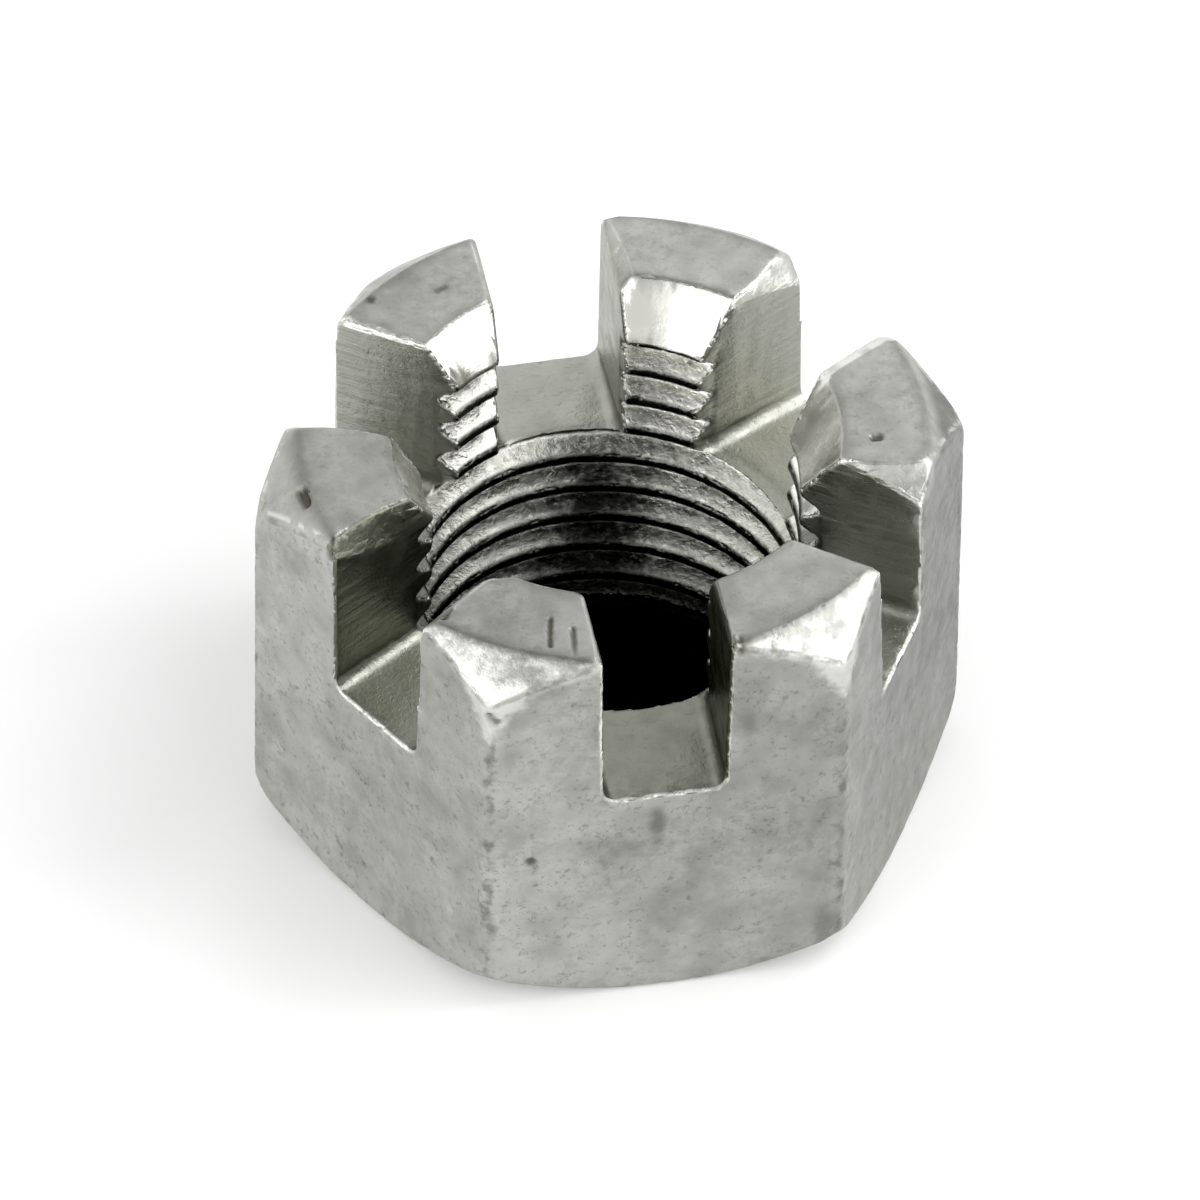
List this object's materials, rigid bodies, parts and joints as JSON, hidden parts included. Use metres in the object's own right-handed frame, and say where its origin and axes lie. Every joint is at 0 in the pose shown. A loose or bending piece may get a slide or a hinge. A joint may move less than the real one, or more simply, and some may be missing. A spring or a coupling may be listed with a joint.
{
  "type": "castle nut",
  "caption": "Thick hexagon castle nut with a slotted crown for a cotter pin and an internal thread through its middle.",
  "frame": {"origin": "middle of the bearing face, on the thread axis", "axes": "+Z along the thread axis, from the bearing face to the slotted crown; two opposite flats face -Y and +Y"},
  "size_m": [0.0218, 0.019, 0.0143],
  "materials": {
    "steel": "matt grey zinc-like plating, lightly pitted, with bright cut edges"
  },
  "bodies": {
    "root": {"castle_nut": "steel"}
  },
  "joints": []
}
